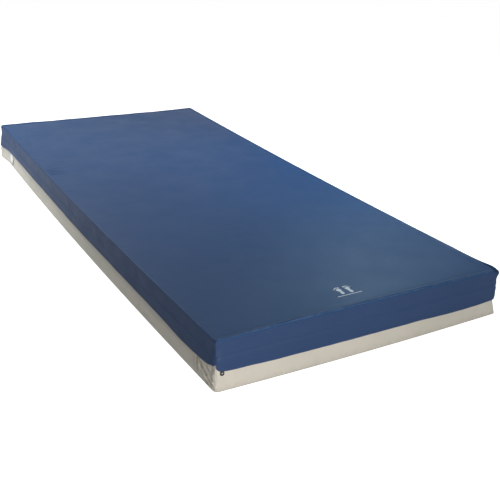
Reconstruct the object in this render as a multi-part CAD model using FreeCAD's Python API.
import FreeCAD, Part
import os
from FreeCAD import Vector

# Pressure relief foam mattress for a profiling hospital bed.
# Millimetres. X across the width, +Y from the foot end to the head end, +Z up.
# Origin: centre of the underside. An "out" value is a distance outwards from the
# upright face of the foam core.

os.makedirs("parts", exist_ok=True)

# ---------------------------------------------------------------- driving sizes
WIDTH = 914.0            # over the side flaps
LENGTH = 2032.0          # over the end flaps
HEIGHT = 140.0

FOAM_X = 449.0           # half width of the foam core
FOAM_Y = 1004.0          # half length of the foam core
FOAM_Z0 = 2.4
FOAM_Z1 = 137.2
FOAM_R = 7.0             # vertical corner radius
FOAM_EDGE_R = 5.5        # rounding of the top edges
FOAM_FOOT_R = 4.0        # easing of the bottom edges

FLARE_Z = 60.0           # below this height the mattress spreads towards its underside
FLARE_X, FLARE_Y = 3.4, 7.2   # spread at the underside, each side

# Breaks between the sections that the bed bends
Y_BACK = 236.0           # backrest
Y_THIGH = -14.0          # seat to thigh
Y_KNEE = -384.0          # knee
GAP = 0.5                # each side of a break

# Ends of the clipping boxes, well clear of the mattress
CLEAR_X, CLEAR_Y, CLEAR_Z = 600.0, 1100.0, 200.0
SECTION_END_Y = 2000.0

SECTIONS = {             # y0, y1
    "back": (Y_BACK + GAP, SECTION_END_Y),
    "seat": (Y_THIGH + GAP, Y_BACK - GAP),
    "thigh": (Y_KNEE + GAP, Y_THIGH - GAP),
    "calf": (-SECTION_END_Y, Y_KNEE - GAP),
}


# ---------------------------------------------------------------- helpers
def save(name, *shapes):
    """Write the solids of all the shapes as one STEP file."""
    solids = [solid for shape in shapes for solid in shape.Solids]
    piece = solids[0] if len(solids) == 1 else Part.makeCompound(solids)
    piece.exportStep("parts/%s.step" % name)


def block(x0, x1, y0, y1, z0, z1):
    """Box between two limits on each axis, given in either order."""
    low = Vector(min(x0, x1), min(y0, y1), min(z0, z1))
    return Part.makeBox(abs(x1 - x0), abs(y1 - y0), abs(z1 - z0), low)


def edges_along(box, axis):
    """Edges of a box that run along the axis named "X", "Y" or "Z"."""
    across = [other for other in "XYZ" if other != axis]
    return [e for e in box.Edges
            if all(abs(getattr(e.Vertexes[0], a) - getattr(e.Vertexes[1], a)) < 1e-6
                   for a in across)]


def lies_at(item, z):
    return all(abs(v.Z - z) < 1e-6 for v in item.Vertexes)


def slab(half_x, half_y, z0, z1, corner_r, top_r=0.0):
    """Rounded rectangle slab, with its top edges rounded if top_r is given."""
    shape = block(-half_x, half_x, -half_y, half_y, z0, z1)
    shape = shape.makeFillet(corner_r, edges_along(shape, "Z"))
    if top_r > 0:
        shape = shape.makeFillet(top_r, [e for e in shape.Edges if lies_at(e, z1)])
    return shape


def offset_slab(out, z0, z1, top_r=0.0):
    """Slab that follows the upright face of the core."""
    return slab(FOAM_X + out, FOAM_Y + out, z0, z1, FOAM_R + out, top_r)


def flared(out, z0, bottom_r):
    """Spreading part below FLARE_Z, with its bottom edge eased in flats."""
    stations = (         # z, inset
        (z0, 0.8 * bottom_r),
        (z0 + 0.3 * bottom_r, 0.25 * bottom_r),
        (z0 + bottom_r, 0.0),
        (FLARE_Z, 0.0),
    )
    wires = []
    for z, inset in stations:
        spread = (FLARE_Z - z) / FLARE_Z
        plate = slab(FOAM_X + out + FLARE_X * spread - inset,
                     FOAM_Y + out + FLARE_Y * spread - inset, z, z + 1.0, FOAM_R + out)
        underside = [f for f in plate.Faces if lies_at(f, z)][0]
        wires.append(underside.OuterWire)
    return Part.makeLoft(wires, True, True)


def core_body(out):
    """The whole foam core, grown by out on every side."""
    upright = offset_slab(out, FLARE_Z, FOAM_Z1 + out, FOAM_EDGE_R + out)
    return upright.fuse(flared(out, FOAM_Z0 - out, FOAM_FOOT_R + out)).removeSplitter()


def section(shape, name):
    y0, y1 = SECTIONS[name]
    return shape.common(block(-CLEAR_X, CLEAR_X, y0, y1, -50, 300))


def save_sections(prefix, *shapes):
    """Save the shapes as one piece for each section of the mattress."""
    for name in SECTIONS:
        save(prefix + "_" + name, *[section(shape, name) for shape in shapes])


def extrude_outline(corners, sweep):
    wire = Part.makePolygon(corners + [corners[0]])
    return Part.Face(wire).extrude(sweep)


# ---------------------------------------------------------------- foam core
SPLIT_Z = 72.0           # joint between support layer and surface layer
JOINT_GAP = 0.2          # each side of a joint between foam pieces
BOLSTER_W = 90.0         # firm side rail
HEEL_Y = -704.0          # head-side edge of the heel zone

CUT_W = 5.0              # die cuts in the surface foam
CUT_DEPTH = 28.0
CUT_PITCH = 90.0
SEAT_CUT_PITCH = 60.0
CUT_X = FOAM_X - 40      # half the width that is cut
CUT_END_MARGIN = 30.0    # length of a zone left out when its cross cuts are counted
CUT_OVER = 5.0           # cutter height above the foam

HEEL_CUT_DEPTH = 40.0
HEEL_CUT_PITCH = 30.0
HEEL_CUT_COUNT = 9
HEEL_CUT_Y0 = -FOAM_Y + 35

CUT_ZONES = {            # y0, y1, pitch
    "back": (Y_BACK + 30, FOAM_Y - 40, CUT_PITCH),
    "seat": (Y_THIGH + 20, Y_BACK - 20, SEAT_CUT_PITCH),
    "thigh": (Y_KNEE + 20, Y_THIGH - 20, CUT_PITCH),
    "calf": (HEEL_Y + 20, Y_KNEE - 20, CUT_PITCH),
}


def groove(x0, x1, y0, y1, depth):
    return block(x0, x1, y0, y1, FOAM_Z1 - depth, FOAM_Z1 + CUT_OVER)


def cross_groove(y, depth):
    return groove(-CUT_X, CUT_X, y - CUT_W / 2, y + CUT_W / 2, depth)


def groove_grid(y0, y1, pitch):
    """Die cuts along and across one zone, open at the top."""
    cuts = []
    along = int((2 * CUT_X) // pitch)
    for i in range(along + 1):
        x = (i - along / 2.0) * pitch
        cuts.append(groove(x - CUT_W / 2, x + CUT_W / 2, y0, y1, CUT_DEPTH))
    across = int((y1 - y0 - CUT_END_MARGIN) // pitch)
    middle = (y0 + y1) / 2.0
    for j in range(across + 1):
        cuts.append(cross_groove(middle + (j - across / 2.0) * pitch, CUT_DEPTH))
    return cuts[0].multiFuse(cuts[1:])


def save_surface_foam(layer):
    for name, (y0, y1, pitch) in CUT_ZONES.items():
        part = section(layer, name)
        if name == "calf":
            part = part.common(block(-CLEAR_X, CLEAR_X, HEEL_Y + JOINT_GAP, 600, 0, CLEAR_Z))
        save("foam_surface_" + name, part.cut(groove_grid(y0, y1, pitch)))


def save_heel_zone(layer):
    """Foot-end part of the surface layer, with deeper cuts across it only."""
    heel = layer.common(block(-CLEAR_X, CLEAR_X, -CLEAR_Y, HEEL_Y - JOINT_GAP, 0, CLEAR_Z))
    cuts = [cross_groove(HEEL_CUT_Y0 + HEEL_CUT_PITCH * i, HEEL_CUT_DEPTH)
            for i in range(HEEL_CUT_COUNT)]
    save("foam_heel_zone", heel.cut(cuts[0].multiFuse(cuts[1:])))


def save_support_foam(layer):
    """Middle of the support layer and the firm rails on both sides of it."""
    def strip(x0, x1):
        return layer.common(block(x0, x1, -CLEAR_Y, CLEAR_Y, 0, 100))

    rail_x = FOAM_X - BOLSTER_W
    middle_x = rail_x - JOINT_GAP
    save_sections("foam_support", strip(-middle_x, middle_x))
    rails = strip(rail_x + JOINT_GAP, CLEAR_X).fuse(strip(-CLEAR_X, -rail_x - JOINT_GAP))
    save_sections("side_bolsters", rails)


def save_foam():
    core = core_body(0.0)
    upper = core.common(block(-CLEAR_X, CLEAR_X, -CLEAR_Y, CLEAR_Y,
                              SPLIT_Z + JOINT_GAP, CLEAR_Z))
    lower = core.common(block(-CLEAR_X, CLEAR_X, -CLEAR_Y, CLEAR_Y,
                              0, SPLIT_Z - JOINT_GAP))
    save_surface_foam(upper)
    save_heel_zone(upper)
    save_support_foam(lower)


save_foam()

# ---------------------------------------------------------------- fire barrier sock
SOCK_IN, SOCK_OUT = 0.3, 1.0

save_sections("fire_barrier", core_body(SOCK_OUT).cut(core_body(SOCK_IN)))

# ---------------------------------------------------------------- covers
WALL_IN, WALL_OUT = 2.8, 3.8
TOP_PANEL_T = 1.0
BASE_PANEL_T = 0.9
TOP_EDGE_R = 8.0
BASE_EDGE_R = 5.5
COVER_HEM_Z = 81.0       # lower hem of the blue cover
BASE_HEM_Z = 69.0        # upper hem of the grey base cover
HEM_OVER = 5.0           # how far the hollow runs past a hem, to leave it open


def top_cover():
    outer = offset_slab(WALL_OUT, COVER_HEM_Z, HEIGHT, TOP_EDGE_R)
    inner = offset_slab(WALL_IN, COVER_HEM_Z - HEM_OVER, HEIGHT - TOP_PANEL_T,
                        TOP_EDGE_R - TOP_PANEL_T)
    return outer.cut(inner)


def base_body(out, z0, z1, bottom_r):
    return flared(out, z0, bottom_r).fuse(offset_slab(out, FLARE_Z, z1)).removeSplitter()


def base_cover():
    outer = base_body(WALL_OUT, 0.0, BASE_HEM_Z, BASE_EDGE_R)
    inner = base_body(WALL_IN, BASE_PANEL_T, BASE_HEM_Z + HEM_OVER,
                      BASE_EDGE_R - BASE_PANEL_T)
    return outer.cut(inner)


save_sections("top_cover", top_cover())
save_sections("base_cover", base_cover())

# ---------------------------------------------------------------- zip stringers
# They run round the whole perimeter, broken at the corner where the slider is parked.
ZIP_Z = 75.0

ZIP_BANDS = {            # inner out, outer out, z0 and z1 from the zip's centre line
    "upper_tape": (4.0, 4.6, 3.7, 13.0),
    "lower_tape": (4.0, 4.6, -12.6, -3.7),
    "upper_coil": (3.0, 5.6, 0.5, 3.5),
    "lower_coil": (3.0, 5.6, -3.5, -0.5),
}


def zip_band(inner_out, outer_out, z0, z1):
    """Upright band round the core, open at the slider's corner."""
    outer = offset_slab(outer_out, z0, z1)
    inner = offset_slab(inner_out, z0 - 1, z1 + 1)
    corner = block(-CLEAR_X, -FOAM_X + FOAM_R, -CLEAR_Y, -FOAM_Y + FOAM_R, 0, CLEAR_Z)
    return outer.cut(inner).cut(corner)


for band, (inner_out, outer_out, below, above) in ZIP_BANDS.items():
    save_sections("zip_" + band, zip_band(inner_out, outer_out, ZIP_Z + below, ZIP_Z + above))

# ---------------------------------------------------------------- zip slider and pull
SLIDER_X = -435.0        # parked at the left end of the foot wall
SLIDER_L = 12.0
FRONT_PLATE_R = 2.2
STUD_R = 1.3
STUD_ROOT, STUD_L = 6.6, 2.6   # out of its root, length
STUD_TIP = STUD_ROOT + STUD_L
CAP_R, CAP_T, CAP_EDGE_R = 2.6, 0.7, 0.25

PULL_LEN = 36.4          # stud axis to free end
PULL_W = 10.5
PULL_IN, PULL_OUT = 7.5, 8.9
EYE_R = 3.6
EYE_HOLE_R = STUD_R + 0.05
BLADE_HALF_W = 2.6
BLADE_OVERLAP = 10.0     # blade ends this far short of the free end
LOBE_HALF_H = 6.6
LOBE_CORNER_R = 4.4
LOBE_HOLE_R = 2.7
LOBE_HOLE_DROP = 0.6     # hole below the lobe's centre


def foot_block(x0, x1, out0, out1, z0, z1):
    """Block on the foot wall, with x measured from the slider's centre."""
    return block(SLIDER_X + x0, SLIDER_X + x1, -FOAM_Y - out0, -FOAM_Y - out1, z0, z1)


def foot_pin(radius, out, length, z=ZIP_Z):
    """Cylinder at the slider's centre, pointing out from the foot wall."""
    return Part.makeCylinder(radius, length, Vector(SLIDER_X, -FOAM_Y - out, z),
                             Vector(0, -1, 0))


def zip_slider():
    """Back plate, front plate, the thin web between the coils, and the stud."""
    half_l = SLIDER_L / 2
    back = foot_block(-half_l, half_l, 1.5, 2.5, ZIP_Z - 5.2, ZIP_Z + 5.2)
    front = foot_block(-half_l, half_l, 6.0, 7.1, ZIP_Z - 6.0, ZIP_Z + 6.0)
    front = front.makeFillet(FRONT_PLATE_R, edges_along(front, "Y"))
    web = foot_block(-5.0, 1.0, 2.0, 6.5, ZIP_Z - 0.3, ZIP_Z + 0.3)
    stud = foot_pin(STUD_R, STUD_ROOT, STUD_L)
    return back.fuse([front, web, stud]).removeSplitter()


def stud_cap():
    cap = foot_pin(CAP_R, STUD_TIP, CAP_T)
    face_y = -FOAM_Y - STUD_TIP - CAP_T
    rim = [e for e in cap.Edges
           if abs(e.BoundBox.YMin - face_y) < 1e-3 and e.BoundBox.YLength < 1e-3]
    return cap.makeFillet(CAP_EDGE_R, rim)


def pull_tab():
    """Eye on the stud, narrow blade, and a lobe with a hole at the free end."""
    eye = foot_pin(EYE_R, PULL_IN, PULL_OUT - PULL_IN)
    end_z = ZIP_Z - PULL_LEN
    blade = foot_block(-BLADE_HALF_W, BLADE_HALF_W, PULL_IN, PULL_OUT,
                       end_z + BLADE_OVERLAP, ZIP_Z)
    lobe_z = end_z + LOBE_HALF_H
    lobe = foot_block(-PULL_W / 2, PULL_W / 2, PULL_IN, PULL_OUT,
                      lobe_z - LOBE_HALF_H, lobe_z + LOBE_HALF_H)
    lobe = lobe.makeFillet(LOBE_CORNER_R, edges_along(lobe, "Y"))
    tab = eye.fuse([blade, lobe]).removeSplitter()
    tab = tab.cut(foot_pin(EYE_HOLE_R, PULL_IN - 2, 10))
    return tab.cut(foot_pin(LOBE_HOLE_R, PULL_IN - 2, 10, lobe_z - LOBE_HOLE_DROP))


def end_stop():
    """Plate over the far end of the chain, just round the corner on the -X wall."""
    corner_end_y = -FOAM_Y + FOAM_R
    stop = block(-FOAM_X - 6.6, -FOAM_X - 5.7, corner_end_y + 2, corner_end_y + 8,
                 ZIP_Z - 4.2, ZIP_Z + 4.2)
    return stop.makeFillet(1.2, edges_along(stop, "X"))


save("zip_slider", zip_slider())
save("zip_stud_cap", stud_cap())
save("zip_pull_tab", pull_tab())
save("zip_end_stop", end_stop())

# ---------------------------------------------------------------- flaps over the zip
FLAP_SEAM_Z = 89.5
FLAP_KNEE_Z = 80.0
FLAP_T = 1.0
SIDE_FLAP_EDGE_Z = 60.0
END_FLAP_EDGE_Z = 50.0
END_FLAP_CORNER_R = 10.0
SIDE_FLAP_OUT = WIDTH / 2 - FOAM_X
END_FLAP_OUT = LENGTH / 2 - FOAM_Y
BEAD_OUT, BEAD_R = 4.7, 0.6   # hem bead on the seam


def flap_profile(out, edge_z):
    """Closed (out, z) outline: a slope out over the zip and a straight fall."""
    return [
        (4.25, FLAP_SEAM_Z),
        (5.15, FLAP_SEAM_Z + 0.2),
        (out, FLAP_KNEE_Z + 1.0),
        (out, edge_z),
        (out - FLAP_T, edge_z),
        (out - FLAP_T, FLAP_KNEE_Z),
    ]


def left_flap():
    """Flap on the -X side."""
    half_l = FOAM_Y + WALL_OUT
    corners = [Vector(-FOAM_X - out, -half_l, z)
               for out, z in flap_profile(SIDE_FLAP_OUT, SIDE_FLAP_EDGE_Z)]
    flap = extrude_outline(corners, Vector(0, 2 * half_l, 0))
    bead = Part.makeCylinder(BEAD_R, 2 * half_l,
                             Vector(-FOAM_X - BEAD_OUT, -half_l, FLAP_SEAM_Z), Vector(0, 1, 0))
    return flap.fuse(bead)


def end_flap(end):
    """Flap at the foot (end = -1) or the head (end = 1)."""
    half_w = WIDTH / 2
    radius = END_FLAP_CORNER_R
    seam_x = FOAM_X - FOAM_R

    def at(out):
        return end * (FOAM_Y + out)

    corners = [Vector(-half_w, at(out), z)
               for out, z in flap_profile(END_FLAP_OUT, END_FLAP_EDGE_Z)]
    flap = extrude_outline(corners, Vector(WIDTH, 0, 0))
    bead = Part.makeCylinder(BEAD_R, 2 * seam_x,
                             Vector(-seam_x, at(BEAD_OUT), FLAP_SEAM_Z), Vector(1, 0, 0))
    for side in (-1, 1):
        # short of the rounded corners at the seam, full width below it
        flap = flap.cut(block(side * (seam_x + 8), side * CLEAR_X, at(-5), at(8.7),
                              END_FLAP_EDGE_Z - 5, 100))
        # rounded lower corner
        arc_x = side * (half_w - radius)
        arc_z = END_FLAP_EDGE_Z + radius
        waste = block(arc_x, side * (half_w + 5), at(5), at(20), END_FLAP_EDGE_Z - 5, arc_z)
        waste = waste.cut(Part.makeCylinder(radius, 60, Vector(arc_x, at(0) - 30, arc_z),
                                            Vector(0, 1, 0)))
        flap = flap.cut(waste)
    return flap.fuse(bead).removeSplitter()


left = left_flap()
save_sections("side_flaps", left, left.mirror(Vector(0, 0, 0), Vector(1, 0, 0)))
save("foot_flap", end_flap(-1))
save("head_flap", end_flap(1))

# ---------------------------------------------------------------- law tag
TAG_Y0, TAG_Y1 = 838.0, 888.0
TAG_X = -FOAM_X - 5.5
TAG_TOP_Z, TAG_LEN = 50.5, 46.0
TAG_HALF_T = 0.25
TAG_HEM_R = 0.5
TAG_LEAN = 1.9           # how much further out its free edge hangs


def law_tag():
    low_x, low_z = TAG_X - TAG_LEAN, TAG_TOP_Z - TAG_LEN
    corners = [
        Vector(TAG_X - TAG_HALF_T, TAG_Y0, TAG_TOP_Z),
        Vector(TAG_X + TAG_HALF_T, TAG_Y0, TAG_TOP_Z),
        Vector(low_x + TAG_HALF_T, TAG_Y0, low_z),
        Vector(low_x - TAG_HALF_T, TAG_Y0, low_z),
    ]
    width = TAG_Y1 - TAG_Y0
    tag = extrude_outline(corners, Vector(0, width, 0))
    hem = Part.makeCylinder(TAG_HEM_R, width, Vector(TAG_X, TAG_Y0, TAG_TOP_Z),
                            Vector(0, 1, 0))
    return tag.fuse(hem).removeSplitter()


save("law_tag", law_tag())

# ---------------------------------------------------------------- printed foot-end mark
# A pair of footprints over a rule, read from the foot end.
MARK_X, MARK_Y = -26.0, -932.0
MARK_T = 0.1
FOOT_X = 15.0            # centre of the sole's ball, each side of the mark's centre
HEEL_X = 14.0

TOES = (                 # x from the ball's centre, y, radius; big toe first
    (-6.5, 15.0, 3.0),
    (-1.0, 16.8, 2.1),
    (3.4, 16.0, 1.9),
    (7.2, 14.0, 1.7),
    (10.2, 10.8, 1.5),
)


def disc(x, y, radius):
    return Part.makeCylinder(radius, MARK_T, Vector(MARK_X + x, MARK_Y + y, HEIGHT))


def bar(x0, x1, y0, y1):
    return block(MARK_X + x0, MARK_X + x1, MARK_Y + y0, MARK_Y + y1, HEIGHT, HEIGHT + MARK_T)


def footprint(side):
    """Sole and toes; side is -1 or 1."""
    heel_x = side * HEEL_X
    heel = disc(heel_x, -12, 5.5)
    arch = bar(heel_x - 4.5, heel_x + 4.5, -12, 4)
    sole = disc(side * FOOT_X, 4, 8.0).fuse([heel, arch]).removeSplitter()
    return [sole] + [disc(side * (FOOT_X + x), y, radius) for x, y, radius in TOES]


save("foot_end_print", *footprint(-1), *footprint(1), bar(-38, 38, -24, -21.5))
